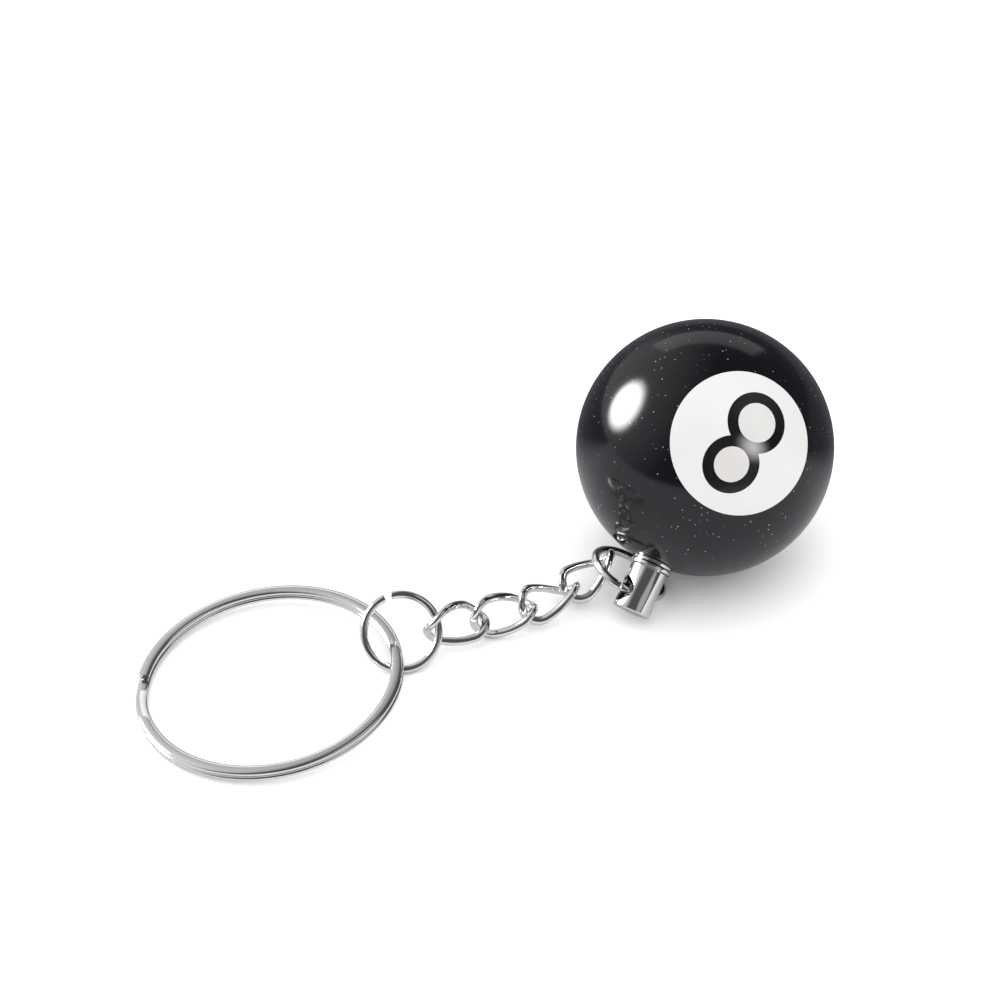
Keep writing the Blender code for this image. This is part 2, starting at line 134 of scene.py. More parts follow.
# name, azimuth, elevation, strength, width
SUNS = [
    ("key_light", 140, 62, 0.7, 100),
    ("fill_light", -70, 60, 0.6, 100),
]
ROOM_DARK = 0.08
WALL_STRENGTH = 1.3
FLOOR_SIZE = 6.0
FLOOR_DROP = 0.05 * MM
FLOOR_PALE = (0.9, 0.9, 0.9, 1)
# Painted reflection and shade: the floor's colours as polished pieces see it, duller than the
# pale floor and painted dark further off to one side, in place of the shade behind the ball.
REFLECTED_FLOOR_NEAR = (0.56, 0.535, 0.565, 1)
PAINTED_SHADE_FAR = (0.10, 0.092, 0.108, 1)
PAINTED_SHADE_FADE = (12 * MM, 34 * MM)  # from REFLECTED_FLOOR_NEAR to PAINTED_SHADE_FAR, towards PAINTED_SHADE_AZIMUTH
PAINTED_SHADE_AZIMUTH = 58

# Camera
CAMERA_TURN = -22.2
CAMERA_ELEVATION = 38.35
CAMERA_ROLL = -2.79
CAMERA_DISTANCE = 212.8 * MM
CAMERA_AIM = Vector((3.22, 4.69, 10.0)) * MM
CAMERA_LENS = 79.2


# ---------------------------------------------------------------- modelling helpers


def select_nothing():
    bpy.ops.object.select_all(action="DESELECT")


def select_only(obj):
    select_nothing()
    obj.select_set(True)
    bpy.context.view_layer.objects.active = obj


def edit(obj, kind="VERT"):
    select_only(obj)
    bpy.ops.object.mode_set(mode="EDIT")
    bpy.ops.mesh.select_mode(type=kind)


def stop_editing():
    bpy.ops.object.mode_set(mode="OBJECT")
    return bpy.context.object


def pick(obj, test, kind="VERT"):
    """Selects the points, edges or faces that pass the test, and nothing else."""
    edit(obj, kind)
    bpy.ops.mesh.select_all(action="DESELECT")
    bpy.ops.object.mode_set(mode="OBJECT")
    group = {"VERT": obj.data.vertices, "EDGE": obj.data.edges, "FACE": obj.data.polygons}[kind]
    for item in group:
        item.select = test(item)
    bpy.ops.object.mode_set(mode="EDIT")


def cylinder(radius, low, high, segments=ROUND_SEGMENTS):
    select_nothing()
    bpy.ops.mesh.primitive_cylinder_add(
        vertices=segments, radius=radius, depth=high - low, location=(0, 0, (low + high) / 2)
    )
    return settle(bpy.context.object)


def ball_form(radius=BALL_RADIUS):
    select_nothing()
    bpy.ops.mesh.primitive_uv_sphere_add(
        segments=BALL_SEGMENTS, ring_count=BALL_SEGMENTS // 2, radius=radius, location=(0, 0, 0)
    )
    return bpy.context.object


def settle(obj, placement=None):
    """Moves an object's place, turn and scale into its mesh."""
    obj.data.transform((placement or Matrix.Identity(4)) @ obj.matrix_basis)
    obj.matrix_basis = Matrix.Identity(4)
    return obj


def apply(obj, modifier):
    select_only(obj)
    bpy.ops.object.modifier_apply(modifier=modifier.name)


def join_shapes(obj, other, operation="DIFFERENCE", keep=False):
    boolean = obj.modifiers.new("Shape", "BOOLEAN")
    boolean.operation = operation
    boolean.solver = "EXACT"
    boolean.object = other
    apply(obj, boolean)
    if not keep:
        bpy.data.objects.remove(other, do_unlink=True)
    return obj


def mend(obj):
    """Merges the points that cutting leaves almost on top of each other, which would
    otherwise leave gaps in the surface."""
    edit(obj)
    bpy.ops.mesh.select_all(action="SELECT")
    bpy.ops.mesh.remove_doubles(threshold=0.003 * MM)
    bpy.ops.mesh.dissolve_degenerate(threshold=0.001 * MM)
    stop_editing()
    return obj


def soften(obj, width, segments=3, angle=35.0):
    bevel = obj.modifiers.new("Edges", "BEVEL")
    bevel.width = width
    bevel.segments = segments
    bevel.limit_method = "ANGLE"
    bevel.angle_limit = math.radians(angle)
    apply(obj, bevel)
    return obj


def shade(obj, angle=30.0):
    select_only(obj)
    bpy.ops.object.shade_smooth_by_angle(angle=math.radians(angle))
    return obj


def copy_of(obj, name):
    made = obj.copy()
    made.data = obj.data.copy()
    made.name = name
    made.data.name = name
    bpy.context.scene.collection.objects.link(made)
    return made


def basis(x, y, z, origin):
    return Matrix.Translation(origin) @ Matrix((x, y, z)).transposed().to_4x4()


# ------------------------------------------------------------ where the CAD nodes lie


def points_of(node):
    mesh = frame["nodes"][node].data
    flat = np.zeros(len(mesh.vertices) * 3)
    mesh.vertices.foreach_get("co", flat)
    return np.unique(np.round(flat.reshape(-1, 3), 7), axis=0)


def middle_of(node):
    return Vector(points_of(node).mean(axis=0))


def spread_axes(points):
    """The directions in which the points spread most, second most and least."""
    centred = points - points.mean(axis=0)
    axes = np.linalg.eigh(centred.T @ centred)[1]
    return [Vector(axes[:, i]) for i in (2, 1, 0)]


def joint(name):
    found = next(j for j in frame["record"]["behaviour"]["joints"] if j["name"] == name)
    return Vector(found["pos_m"]), Vector(found["axis"]).normalized()


def ring_place(node):
    """A ring's placement: Z square to it, X from its centre to its seam."""
    points = points_of(node)
    first, second, square = spread_axes(points)
    flat = np.stack([points @ np.array(first), points @ np.array(second)], axis=1)
    sums = np.linalg.lstsq(
        np.column_stack([2 * flat, np.ones(len(flat))]), (flat**2).sum(axis=1), rcond=None
    )[0]
    mean = Vector(points.mean(axis=0))
    centre = first * sums[0] + second * sums[1] + square * mean.dot(square)
    seam = (centre - mean).normalized()
    return basis(seam, square.cross(seam), square, centre)


def link_place(node):
    points = points_of(node)
    along, wide, square = spread_axes(points)
    return basis(along, wide, along.cross(wide), Vector(points.mean(axis=0)))


def ball_place():
    """The ball's placement: the post points down -Z, and the front spot faces +X."""
    axis = (middle_of("threaded_stud") - middle_of("collar")).normalized()
    centre = middle_of("collar") + axis * (SEAT_HEIGHT + SCREW_GAP + COLLAR_HEIGHT / 2)
    facing = middle_of("front_number_spot") - centre
    facing = (facing - axis * facing.dot(axis)).normalized()
    return basis(facing, axis.cross(facing), axis, centre)


def inlay_place(side, centre):
    """An inlay's placement: Z out of the ball, Y towards the numeral's top."""
    low = middle_of(side + "_bottom_loop_centre") - centre
    high = middle_of(side + "_top_loop_centre") - centre
    out = (middle_of(side + "_number_spot") - centre).normalized()
    rise = high - low
    rise = (rise - out * rise.dot(out)).normalized()
    return basis(rise.cross(out), rise, out, centre)


# ------------------------------------------------------------------------- materials


def new_material(name):
    material = bpy.data.materials.new(name)
    material.use_nodes = True
    nodes = material.node_tree.nodes
    links = material.node_tree.links
    return material, nodes, links, nodes["Principled BSDF"]


def add(nodes, kind, **values):
    node = nodes.new(kind)
    for key, value in values.items():
        if key in node.inputs:
            node.inputs[key].default_value = value
        else:
            setattr(node, key, value)
    return node


def ramp(nodes, low, high, from_colour, to_colour):
    node = nodes.new("ShaderNodeValToRGB")
    node.color_ramp.elements[0].position = low
    node.color_ramp.elements[0].color = from_colour
    node.color_ramp.elements[1].position = high
    node.color_ramp.elements[1].color = to_colour
    return node


def resin(name, colour, blotch, roughness, gloss, specks=0.0, sheen_painted=False):
    """Cast resin under a polished skin: faint cloudiness, fine polishing marks, and dust; where
    asked, a painted reflection in grey over the marked waist.
    """
    material, nodes, links, shader = new_material(name)
    where = nodes.new("ShaderNodeTexCoord")

    cloud = add(nodes, "ShaderNodeTexNoise", Scale=180.0, Detail=4.0, Roughness=0.6)
    links.new(where.outputs["Object"], cloud.inputs["Vector"])
    tint = ramp(nodes, 0.35, 0.7, colour, blotch)
    links.new(cloud.outputs["Fac"], tint.inputs["Fac"])
    colour_out = tint.outputs["Color"]

    if specks:
        dust = add(nodes, "ShaderNodeTexVoronoi", Scale=2100.0, Randomness=1.0)
        links.new(where.outputs["Object"], dust.inputs["Vector"])
        near = add(nodes, "ShaderNodeMapRange", interpolation_type="SMOOTHSTEP")
        near.inputs["From Min"].default_value = 0.16
        near.inputs["From Max"].default_value = 0.08
        links.new(dust.outputs["Distance"], near.inputs["Value"])
        some = add(nodes, "ShaderNodeMapRange")
        some.inputs["From Min"].default_value = 0.55
        some.inputs["From Max"].default_value = 0.95
        split = nodes.new("ShaderNodeSeparateColor")
        links.new(dust.outputs["Color"], split.inputs["Color"])
        links.new(split.outputs["Red"], some.inputs["Value"])
        amount = add(nodes, "ShaderNodeMath", operation="MULTIPLY")
        links.new(near.outputs["Result"], amount.inputs[0])
        links.new(some.outputs["Result"], amount.inputs[1])
        mix = add(nodes, "ShaderNodeMix", data_type="RGBA")
        mix.inputs["B"].default_value = (specks, specks, specks, 1)
        links.new(amount.outputs["Value"], mix.inputs["Factor"])
        links.new(colour_out, mix.inputs["A"])
        colour_out = mix.outputs["Result"]
    # Painted reflection: grey mixed over the marked waist, in place of a glare.
    if sheen_painted:
        painted_sheen = add(nodes, "ShaderNodeAttribute", attribute_name=PAINTED_SHEEN_NAME)
        mix = add(nodes, "ShaderNodeMix", data_type="RGBA")
        mix.inputs["B"].default_value = PAINTED_SHEEN_GREY
        links.new(painted_sheen.outputs["Fac"], mix.inputs["Factor"])
        links.new(colour_out, mix.inputs["A"])
        colour_out = mix.outputs["Result"]
    links.new(colour_out, shader.inputs["Base Color"])

    marks = add(nodes, "ShaderNodeTexNoise", Scale=700.0, Detail=6.0, Roughness=0.7)
    links.new(where.outputs["Object"], marks.inputs["Vector"])
    rough = add(nodes, "ShaderNodeMapRange")
    rough.inputs["To Min"].default_value = roughness * 0.8
    rough.inputs["To Max"].default_value = roughness * 1.3
    links.new(marks.outputs["Fac"], rough.inputs["Value"])
    links.new(rough.outputs["Result"], shader.inputs["Roughness"])

    stretch = nodes.new("ShaderNodeMapping")
    stretch.inputs["Rotation"].default_value = (0.4, 0.9, 0.3)
    stretch.inputs["Scale"].default_value = (2600.0, 160.0, 160.0)
    links.new(where.outputs["Object"], stretch.inputs["Vector"])
    scratch = add(nodes, "ShaderNodeTexNoise", Scale=1.0, Detail=3.0)
    links.new(stretch.outputs["Vector"], scratch.inputs["Vector"])
    bump = add(nodes, "ShaderNodeBump", Strength=0.035, Distance=0.02 * MM)
    links.new(scratch.outputs["Fac"], bump.inputs["Height"])
    links.new(bump.outputs["Normal"], shader.inputs["Normal"])

    shader.inputs["IOR"].default_value = 1.5
    shader.inputs["Specular IOR Level"].default_value = gloss
    return material


def chrome(name, tone, roughness, dents):
    """Bright plating with faint smears, and the small unevenness of drawn wire."""
    material, nodes, links, shader = new_material(name)
    where = nodes.new("ShaderNodeTexCoord")
    smear = add(nodes, "ShaderNodeTexNoise", Scale=420.0, Detail=5.0, Roughness=0.6)
    links.new(where.outputs["Object"], smear.inputs["Vector"])
    rough = add(nodes, "ShaderNodeMapRange")
    rough.inputs["To Min"].default_value = roughness * 0.6
    rough.inputs["To Max"].default_value = roughness * 1.6
    links.new(smear.outputs["Fac"], rough.inputs["Value"])
    links.new(rough.outputs["Result"], shader.inputs["Roughness"])
    smeared = (tone * 0.93, tone * 0.92, tone * 0.9, 1)
    tint = ramp(nodes, 0.3, 0.75, (tone, tone, tone, 1), smeared)
    links.new(smear.outputs["Fac"], tint.inputs["Fac"])
    links.new(tint.outputs["Color"], shader.inputs["Base Color"])
    waves = add(nodes, "ShaderNodeTexNoise", Scale=900.0, Detail=2.0)
    links.new(where.outputs["Object"], waves.inputs["Vector"])
    bump = add(nodes, "ShaderNodeBump", Strength=dents, Distance=0.03 * MM)
    links.new(waves.outputs["Fac"], bump.inputs["Height"])
    links.new(bump.outputs["Normal"], shader.inputs["Normal"])
    shader.inputs["Metallic"].default_value = 1.0
    return material


# Grey of the painted reflection on the numeral's waist.
PAINTED_SHEEN_GREY = (0.36, 0.352, 0.35, 1)
BALL_BLACK = resin(
    "black_ball_resin",
    (0.0030, 0.0022, 0.0036, 1),
    (0.0060, 0.0046, 0.0074, 1),
    roughness=0.12,
    gloss=0.42,
    specks=0.4,
)
SPOT_WHITE = resin(
    "white_spot_resin",
    (0.585, 0.58, 0.576, 1),
    (0.555, 0.55, 0.548, 1),
    roughness=0.2,
    gloss=0.4,
)
EYE_WHITE = resin(
    "loop_centre_resin",
    (0.53, 0.519, 0.509, 1),
    (0.485, 0.472, 0.464, 1),
    roughness=0.22,
    gloss=0.4,
)
NUMERAL_BLACK = resin(
    "black_numeral_resin",
    (0.004, 0.004, 0.0045, 1),
    (0.010, 0.0095, 0.0095, 1),
    roughness=0.2,
    gloss=0.4,
    sheen_painted=True,
)
CHROME = chrome("bright_chrome", 0.90, 0.045, 0.12)
WIRE_CHROME = chrome("wire_chrome", 0.90, 0.055, 0.2)
KEY_CHROME = chrome("key_ring_chrome", 0.88, 0.06, 0.16)
STUD_STEEL = chrome("stud_steel", 0.55, 0.3, 0.3)


def finish_piece(obj, name, body, nodes, material):
    """Names a finished piece, gives it its material, and lets it stand for its CAD nodes."""
    obj.name = name
    obj.data.name = name
    obj.data.materials.clear()
    obj.data.materials.append(material)
    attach(obj, body)
    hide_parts(*nodes)
    return obj


def polish(obj, centre):
    """Corners on the ball's surface take the sphere's own normals, so that the seams of
    inlays don't bend its reflections."""
    mesh = obj.data
    normals = []
    for face in mesh.polygons:
        out = face.center - centre
        on_surface = out.length > 0.995 * BALL_RADIUS and face.normal.dot(out.normalized()) > 0.97
        for corner in face.vertices:
            normal = mesh.vertices[corner].co - centre if on_surface else face.normal
            normals.append(normal.normalized())
    mesh.shade_smooth()
    mesh.normals_split_custom_set(normals)
    return obj


# ------------------------------------------------------------------- ball and inlays


def numeral_outline(base, grow):
    """The numeral's outside, as a prism that rises past the ball's surface, and its eyes:
    each one's offset, radius and label."""
    span = LOOP_SPACING + BIG_LOOP_RADIUS + SMALL_LOOP_RADIUS
    low = -span / 2 + BIG_LOOP_RADIUS
    form = cylinder(BIG_LOOP_RADIUS + grow, base, OUTSIDE)
    form.data.transform(Matrix.Translation((0, low, 0)))
    upper = cylinder(SMALL_LOOP_RADIUS + grow, base, OUTSIDE)
    upper.data.transform(Matrix.Translation((0, low + LOOP_SPACING, 0)))
    join_shapes(form, upper, "UNION")
    eyes = [
        (low, BIG_LOOP_RADIUS - NUMERAL_LINE, "bottom"),
        (low + LOOP_SPACING, SMALL_LOOP_RADIUS - NUMERAL_LINE, "top"),
    ]
    return form, eyes


def eye_form(offset, radius, base):
    form = cylinder(radius, base, OUTSIDE)
    form.data.transform(Matrix.Translation((0, offset, 0)))
    return form


def paint_waist_sheen(numeral):
    """Marks the numeral's waist for the painted reflection: a grey patch in place of the glare of
    a light in front.
    """
    painted_sheen = numeral.data.attributes.new(PAINTED_SHEEN_NAME, "FLOAT", "POINT")
    for point, mark in zip(numeral.data.vertices, painted_sheen.data):
        across, up = point.co.x - WAIST_SIDE, point.co.y * WAIST_SQUASH
        near = max(1 - math.hypot(across, up) / WAIST_REACH, 0)
        mark.value = WAIST_SHEEN * near * near * (3 - 2 * near)


def make_inlays():
    """The pieces of one number inlay, in its own frame: spot, numeral and loop centres."""
    surface = ball_form()
    spot_base = BALL_RADIUS - SPOT_DEPTH
    numeral_base = BALL_RADIUS - NUMERAL_DEPTH

    spot = cylinder(SPOT_RADIUS - SEAM, spot_base, OUTSIDE)
    recess = numeral_outline(numeral_base - SEAM, SEAM)[0]
    join_shapes(spot, surface, "INTERSECT", keep=True)
    join_shapes(spot, recess)

    numeral, eyes = numeral_outline(numeral_base, 0.0)
    made = {"number_spot": spot}
    for offset, radius, label in eyes:
        join_shapes(numeral, eye_form(offset, radius, numeral_base - SEAM))
        centre = eye_form(offset, radius - SEAM, numeral_base)
        join_shapes(centre, surface, "INTERSECT", keep=True)
        made[label + "_loop_centre"] = centre
    join_shapes(numeral, surface, "INTERSECT", keep=True)
    paint_waist_sheen(numeral)
    made["numeral_eight"] = numeral
    bpy.data.objects.remove(surface, do_unlink=True)
    return made


def make_ball(place):
    centre = place.translation
    inlay_looks = {
        "number_spot": (SPOT_WHITE, "inlay_white"),
        "numeral_eight": (NUMERAL_BLACK, "inlay_black"),
        "bottom_loop_centre": (EYE_WHITE, "inlay_white"),
        "top_loop_centre": (EYE_WHITE, "inlay_white"),
    }
    ball = settle(ball_form(), place)
    inlays = make_inlays()
    for side in ("front", "back"):
        at = inlay_place(side, centre)
        pocket = cylinder(SPOT_RADIUS, BALL_RADIUS - SPOT_DEPTH - SEAM, OUTSIDE)
        join_shapes(ball, settle(pocket, at))
        for part, (material, slot) in inlay_looks.items():
            name = f"{side}_{part}"
            piece = polish(settle(copy_of(inlays[part], "new_" + name), at), centre)
            finish_piece(piece, "polished_" + name, "ball", [name], material)
    for inlay in inlays.values():
        bpy.data.objects.remove(inlay, do_unlink=True)

    seat = cylinder(COLLAR_RADIUS + SCREW_GAP, -OUTSIDE, -SEAT_HEIGHT)
    join_shapes(ball, settle(seat, place))
    bore_end = -(SEAT_HEIGHT - STUD_IN_BALL - SCREW_GAP)
    bore = cylinder(STUD_RADIUS + SCREW_GAP, -OUTSIDE, bore_end)
    mend(join_shapes(ball, settle(bore, place)))
    polish(ball, centre)
    finish_piece(ball, "polished_ball", "ball", ["ball_body"], BALL_BLACK)


# ----------------------------------------------------------------------- post, collar


def resize_level(obj, level, factor, reach=0.01 * MM):
    """Scales the points at one level of a turned piece towards its axis."""
    pick(obj, lambda v: abs(v.co.z - level) < reach)
    bpy.ops.transform.resize(value=(factor, factor, 1), center_override=(0, 0, 0))
    stop_editing()


def cut_level(obj, level):
    edit(obj)
    bpy.ops.mesh.select_all(action="SELECT")
    bpy.ops.mesh.bisect(plane_co=(0, 0, level), plane_no=(0, 0, 1))
    stop_editing()


def make_collar(place):
    top = -SEAT_HEIGHT - SCREW_GAP
    collar = cylinder(COLLAR_RADIUS, top - COLLAR_HEIGHT, top)
    middle = top - COLLAR_HEIGHT / 2
    lip = COLLAR_HEIGHT / 9
    for level in (middle - lip, middle, middle + lip):
        cut_level(collar, level)
    resize_level(collar, middle, 1 - COLLAR_GROOVE / COLLAR_RADIUS)
    bore = cylinder(STUD_RADIUS + SCREW_GAP, top - 2 * COLLAR_HEIGHT, top + COLLAR_HEIGHT)
    join_shapes(collar, bore)
    shade(soften(collar, COLLAR_EDGE, 4, 25.0))
    finish_piece(settle(collar, place), "grooved_collar", "ball", ["collar"], CHROME)


def make_post(place):
    start = SEAT_HEIGHT + 2 * SCREW_GAP + COLLAR_HEIGHT
    end = start + POST_LENGTH
    post = cylinder(POST_RADIUS, -end, -start)
    soften(post, POST_EDGE, 4, 60.0)

    wire_way = joint("ball_swing")[1]
    hole_way = place.to_3x3().inverted() @ wire_way
    hole_way.z = 0
    hole = cylinder(CROSS_HOLE_RADIUS, -3 * POST_RADIUS, 3 * POST_RADIUS, HOLE_SEGMENTS)
    turn = UP.rotation_difference(hole_way.normalized()).to_matrix().to_4x4()
    hole.data.transform(Matrix.Translation((0, 0, -(end - CROSS_HOLE_TO_END))) @ turn)
    join_shapes(post, hole)
    socket = cylinder(STUD_RADIUS + SCREW_GAP, -start - SOCKET_DEPTH, -start + POST_RADIUS)
    join_shapes(post, socket)
    shade(soften(post, HOLE_EDGE, 2, 50.0))
    finish_piece(settle(post, place), "plated_post", "ball", ["post"], CHROME)


# ------------------------------------------------------------------- rings and links


def sweep(steps, angle):
    """Spins what is selected round Z, counterclockwise as seen from above."""
    bpy.ops.mesh.spin(steps=steps, angle=angle, center=(0, 0, 0), axis=(0, 0, -1))


def close_ends(obj, ease):
    """Fills the ends of a swept wire and eases their edges."""
    edit(obj, "EDGE")
    bpy.ops.mesh.select_all(action="SELECT")
    bpy.ops.mesh.fill_holes(sides=0)
    bpy.ops.mesh.select_all(action="SELECT")
    bpy.ops.mesh.normals_make_consistent(inside=False)
    stop_editing()
    return soften(obj, ease, 3, 60.0)


def open_ring(radius, wire, gap):
    """A ring of round wire about Z, with its seam at +X."""
    select_nothing()
    bpy.ops.mesh.primitive_circle_add(
        vertices=WIRE_SEGMENTS, radius=wire, location=(radius, 0, 0), rotation=(math.pi / 2, 0, 0)
    )
    ring = settle(bpy.context.object)
    half_gap = gap / 2 / radius
    ring.data.transform(Matrix.Rotation(half_gap, 4, "Z"))
    edit(ring)
    bpy.ops.mesh.select_all(action="SELECT")
    sweep(RING_STEPS, 2 * (math.pi - half_gap))
    stop_editing()
    return close_ends(ring, wire * 0.16)


def make_ring(node, name, radius, wire, gap):
    ring = shade(open_ring(radius, wire, gap), 50.0)
    settle(ring, ring_place(node))
    finish_piece(ring, name, node, [node], WIRE_CHROME)


def link_form():
    """A long link along X: a torus pulled apart, with its straights cut up and twisted."""
    select_nothing()
    half = (LINK_LENGTH - LINK_WIRE) / 2
    bend = (LINK_WIDTH - LINK_WIRE) / 2
    bpy.ops.mesh.primitive_torus_add(
        major_radius=bend,
        minor_radius=LINK_WIRE / 2,
        major_segments=BEND_SEGMENTS,
        minor_segments=WIRE_SEGMENTS,
    )
    link = bpy.context.object
    slim = 0.001 * MM
    for side in (1, -1):
        pick(link, lambda v: v.co.x * side > slim)
        bpy.ops.transform.translate(value=(side * (half - bend), 0, 0))
        stop_editing()
    spots = link.data.vertices
    long_edge = (half - bend) * 0.5

    def is_long(edge):
        return abs(spots[edge.vertices[0]].co.x - spots[edge.vertices[1]].co.x) > long_edge

    pick(link, is_long, "EDGE")
    bpy.ops.mesh.subdivide(number_cuts=STRAIGHT_CUTS)
    stop_editing()
    twist = link.modifiers.new("Twist", "SIMPLE_DEFORM")
    twist.deform_method = "TWIST"
    twist.deform_axis = "X"
    twist.angle = math.radians(LINK_TWIST) * LINK_LENGTH / (LINK_LENGTH - LINK_WIRE)
    apply(link, twist)
    return shade(link, 180.0)


def make_links():
    form = link_form()
    for node in CHAIN:
        link = settle(copy_of(form, node + "_new"), link_place(node))
        finish_piece(link, "twisted_" + node, node, [node], WIRE_CHROME)
    bpy.data.objects.remove(form, do_unlink=True)


def key_section():
    """The key ring's wire section in the XZ plane: flattened round wire, crowned above
    and below."""
    select_nothing()
    bpy.ops.mesh.primitive_circle_add(
        vertices=KEY_SEGMENTS, radius=KEY_WIDTH / 2, rotation=(math.pi / 2, 0, 0)
    )
    section = settle(bpy.context.object)
    half_width, half_height = KEY_WIDTH / 2, KEY_TURN_HEIGHT / 2
    for point in section.data.vertices:
        side = point.co.x / half_width
        crown = max(1 - abs(side) ** KEY_FULLNESS, 0) ** (1 / KEY_FULLNESS)
        point.co.z = math.copysign(crown * half_height, point.co.z)
    return section


def make_key_ring():
    """Two level turns of flat wire, joined by a short climb."""
    centre, square = joint("jump_ring_travel")
    ring = key_section()
    first = math.radians(KEY_STEP / 2 + KEY_PARTING)
    level = 2 * math.pi - first - math.radians(KEY_STEP / 2)
    outset = Matrix.Translation((KEY_RADIUS, 0, KEY_TURN_HEIGHT / 2))
    ring.data.transform(Matrix.Rotation(first, 4, "Z") @ outset)
    edit(ring)
    bpy.ops.mesh.select_all(action="SELECT")
    sweep(RING_STEPS, level)
    for i in range(CLIMB_STEPS):
        low, high = i / CLIMB_STEPS, (i + 1) / CLIMB_STEPS
        rise = (3 * high**2 - 2 * high**3) - (3 * low**2 - 2 * low**3)
        sweep(1, math.radians(KEY_STEP) / CLIMB_STEPS)
        bpy.ops.transform.translate(value=(0, 0, rise * KEY_TURN_RISE))
    sweep(RING_STEPS, level)
    stop_editing()
    shade(close_ends(ring, KEY_EASE), 50.0)
    lean = UP.rotation_difference(square).to_matrix().to_4x4()
    turn = Matrix.Rotation(math.radians(KEY_END), 4, "Z")
    settle(ring, Matrix.Translation(centre) @ lean @ turn)
    finish_piece(ring, "split_key_ring", "key_ring", ["key_ring"], KEY_CHROME)


# ------------------------------------------------------------------------ the studio


def make_floor():
    select_nothing()
    bpy.ops.mesh.primitive_plane_add(size=FLOOR_SIZE, location=(0, 0, -FLOOR_DROP))
    floor = bpy.context.object
    floor.name = "studio_floor"
    material, nodes, links, shader = new_material("pale_paper")
    shader.inputs["Base Color"].default_value = FLOOR_PALE
    shader.inputs["Roughness"].default_value = 1.0
    shader.inputs["Specular IOR Level"].default_value = 0.0
    # Painted reflection and shade: polished pieces see a duller sheet than the eye does, painted
    # dark further off to one side in place of the shade behind the ball.
    where = nodes.new("ShaderNodeTexCoord")
    away = add(nodes, "ShaderNodeVectorMath", operation="DOT_PRODUCT")
    links.new(where.outputs["Object"], away.inputs[0])
    away.inputs[1].default_value = direction(PAINTED_SHADE_AZIMUTH, 0)
    shade_off = add(nodes, "ShaderNodeMapRange", interpolation_type="SMOOTHSTEP")
    shade_off.inputs["From Min"].default_value = PAINTED_SHADE_FADE[0]
    shade_off.inputs["From Max"].default_value = PAINTED_SHADE_FADE[1]
    links.new(away.outputs["Value"], shade_off.inputs["Value"])
    reflected_floor = ramp(nodes, 0.0, 1.0, REFLECTED_FLOOR_NEAR, PAINTED_SHADE_FAR)
    links.new(shade_off.outputs["Result"], reflected_floor.inputs["Fac"])
    painted_reflection = nodes.new("ShaderNodeBsdfDiffuse")
    links.new(reflected_floor.outputs["Color"], painted_reflection.inputs["Color"])
    ray = nodes.new("ShaderNodeLightPath")
    choose = nodes.new("ShaderNodeMixShader")
    links.new(ray.outputs["Is Glossy Ray"], choose.inputs["Fac"])
    links.new(shader.outputs["BSDF"], choose.inputs[1])
    links.new(painted_reflection.outputs["BSDF"], choose.inputs[2])
    links.new(choose.outputs["Shader"], nodes["Material Output"].inputs["Surface"])
    floor.data.materials.append(material)


def direction(azimuth, elevation):
    a, e = math.radians(azimuth), math.radians(elevation)
    return Vector((math.cos(e) * math.cos(a), math.cos(e) * math.sin(a), math.sin(e)))


def panel(nodes, links, looking, azimuth, elevation, wide, high, roll, blur, strength):
    """One soft panel of the studio: its brightness in the direction that is looked at. Its
    width and height are measured from its middle to its edges."""
    out = direction(azimuth, elevation)
    across = UP.cross(out).normalized()
    rise = out.cross(across)
    spin = math.radians(roll)
    across, rise = (
        across * math.cos(spin) + rise * math.sin(spin),
        rise * math.cos(spin) - across * math.sin(spin),
    )

    def along(axis):
        dot = add(nodes, "ShaderNodeVectorMath", operation="DOT_PRODUCT")
        links.new(looking, dot.inputs[0])
        dot.inputs[1].default_value = axis
        return dot.outputs["Value"]

    ahead = along(out)
    inside = None
    for axis, half in ((across, wide), (rise, high)):
        slope = add(nodes, "ShaderNodeMath", operation="DIVIDE")
        links.new(along(axis), slope.inputs[0])
        links.new(ahead, slope.inputs[1])
        size = add(nodes, "ShaderNodeMath", operation="ABSOLUTE")
        links.new(slope.outputs["Value"], size.inputs[0])
        edge = add(nodes, "ShaderNodeMapRange", interpolation_type="SMOOTHSTEP")
        edge.inputs["From Min"].default_value = math.tan(math.radians(half + blur))
        edge.inputs["From Max"].default_value = math.tan(math.radians(max(half - blur, 0.1)))
        links.new(size.outputs["Value"], edge.inputs["Value"])
        if inside is None:
            inside = edge.outputs["Result"]
        else:
            both = add(nodes, "ShaderNodeMath", operation="MULTIPLY")
            links.new(inside, both.inputs[0])
            links.new(edge.outputs["Result"], both.inputs[1])
            inside = both.outputs["Value"]
    front = add(nodes, "ShaderNodeMath", operation="GREATER_THAN")
    front.inputs[1].default_value = 0.0
    links.new(ahead, front.inputs[0])
    shown = add(nodes, "ShaderNodeMath", operation="MULTIPLY")
    links.new(inside, shown.inputs[0])
    links.new(front.outputs["Value"], shown.inputs[1])
    power = add(nodes, "ShaderNodeMath", operation="MULTIPLY")
    power.inputs[1].default_value = strength
    links.new(shown.outputs["Value"], power.inputs[0])
    return power.outputs["Value"]


def lamp(nodes, links, looking, azimuth, elevation, radius, blur, strength):
    """A round lamp of the studio: its brightness in the direction that is looked at."""
    dot = add(nodes, "ShaderNodeVectorMath", operation="DOT_PRODUCT")
    links.new(looking, dot.inputs[0])
    dot.inputs[1].default_value = direction(azimuth, elevation)
    edge = add(nodes, "ShaderNodeMapRange", interpolation_type="SMOOTHSTEP")
    edge.inputs["From Min"].default_value = math.cos(math.radians(radius + blur))
    edge.inputs["From Max"].default_value = math.cos(math.radians(radius - blur))
    edge.inputs["To Max"].default_value = strength
    links.new(dot.outputs["Value"], edge.inputs["Value"])
    return edge.outputs["Result"]


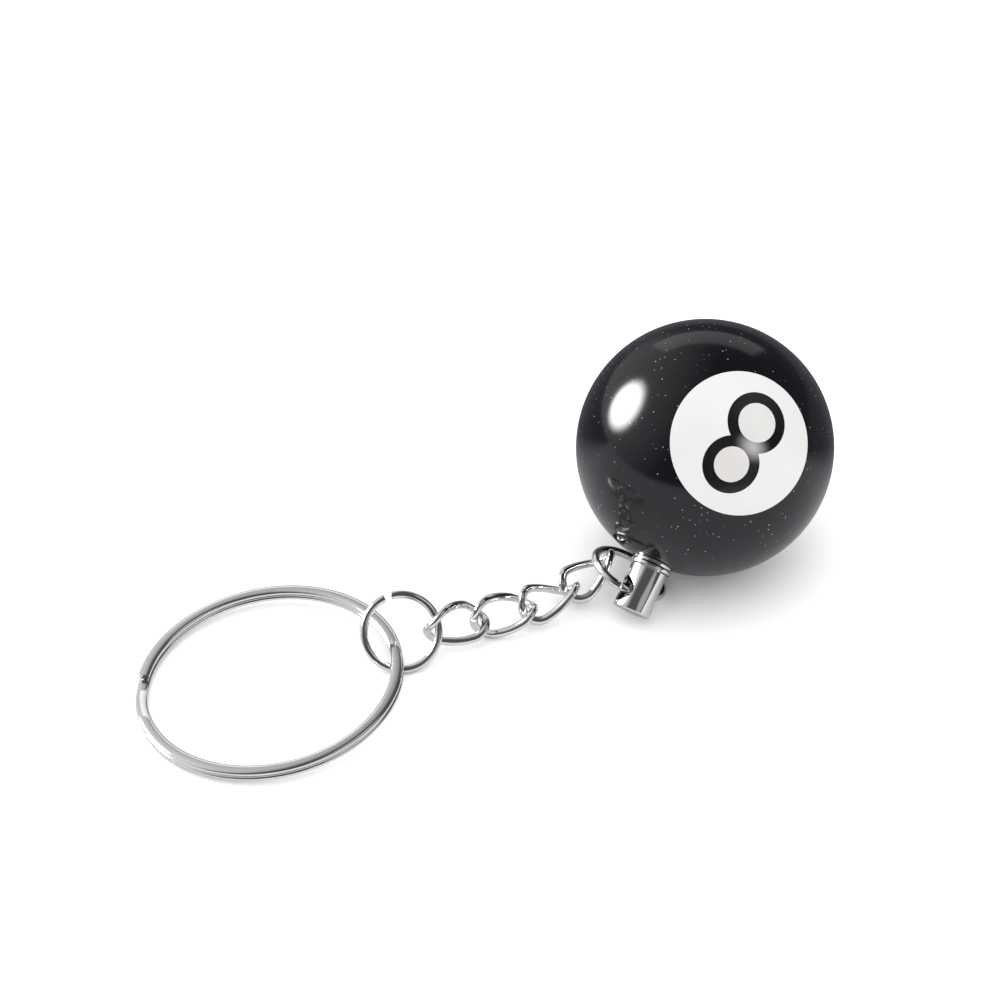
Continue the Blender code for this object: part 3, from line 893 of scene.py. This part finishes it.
def make_world():
    world = bpy.data.worlds.new("studio")
    bpy.context.scene.world = world
    world.use_nodes = True
    nodes, links = world.node_tree.nodes, world.node_tree.links
    where = nodes.new("ShaderNodeTexCoord")
    looking = where.outputs["Generated"]
    shown = [panel(nodes, links, looking, *values) for values in PANELS]
    shown += [lamp(nodes, links, looking, *values) for values in LAMPS]
    total = shown[0]
    for light in shown[1:]:
        both = add(nodes, "ShaderNodeMath", operation="ADD")
        links.new(total, both.inputs[0])
        links.new(light, both.inputs[1])
        total = both.outputs["Value"]
    room = add(nodes, "ShaderNodeMath", operation="ADD")
    room.inputs[1].default_value = ROOM_DARK
    links.new(total, room.inputs[0])
    studio = nodes["Background"]
    links.new(room.outputs["Value"], studio.inputs["Color"])
    wall = add(nodes, "ShaderNodeBackground", Color=(1, 1, 1, 1), Strength=WALL_STRENGTH)
    ray = nodes.new("ShaderNodeLightPath")
    choose = nodes.new("ShaderNodeMixShader")
    links.new(ray.outputs["Is Glossy Ray"], choose.inputs["Fac"])
    links.new(wall.outputs["Background"], choose.inputs[1])
    links.new(studio.outputs["Background"], choose.inputs[2])
    links.new(choose.outputs["Shader"], nodes["World Output"].inputs["Surface"])


def make_lights():
    """Wide soft light from the left and a weaker one from the right."""
    for name, azimuth, elevation, strength, width in SUNS:
        data = bpy.data.lights.new(name, "SUN")
        data.energy = strength
        data.angle = math.radians(width)
        light = bpy.data.objects.new(name, data)
        bpy.context.scene.collection.objects.link(light)
        light.rotation_mode = "QUATERNION"
        light.rotation_quaternion = direction(azimuth, elevation).to_track_quat("Z", "Y")
        light.visible_glossy = False


def make_camera():
    back = direction(CAMERA_TURN - 90, CAMERA_ELEVATION)
    right = UP.cross(back).normalized()
    rise = back.cross(right)
    roll = math.radians(CAMERA_ROLL)
    across = right * math.cos(roll) + rise * math.sin(roll)
    rise = rise * math.cos(roll) - right * math.sin(roll)
    data = bpy.data.cameras.new("camera")
    data.lens = CAMERA_LENS
    data.sensor_width = 36.0
    data.clip_start = 0.005
    data.clip_end = 20.0
    camera = bpy.data.objects.new("camera", data)
    bpy.context.scene.collection.objects.link(camera)
    camera.matrix_world = basis(across, rise, back, CAMERA_AIM + back * CAMERA_DISTANCE)
    bpy.context.scene.camera = camera
    bpy.context.scene.view_settings.view_transform = "Standard"


make_camera()
BALL_PLACE = ball_place()
make_ball(BALL_PLACE)
make_collar(BALL_PLACE)
make_post(BALL_PLACE)
frame["nodes"]["threaded_stud"].data.materials.clear()
frame["nodes"]["threaded_stud"].data.materials.append(STUD_STEEL)
make_ring("bail_ring", "closed_bail_ring", BAIL_RADIUS, BAIL_WIRE, BAIL_CUT)
make_links()
make_ring("jump_ring", "open_jump_ring", JUMP_RADIUS, JUMP_WIRE, JUMP_GAP)
make_key_ring()
make_floor()
make_world()
make_lights()
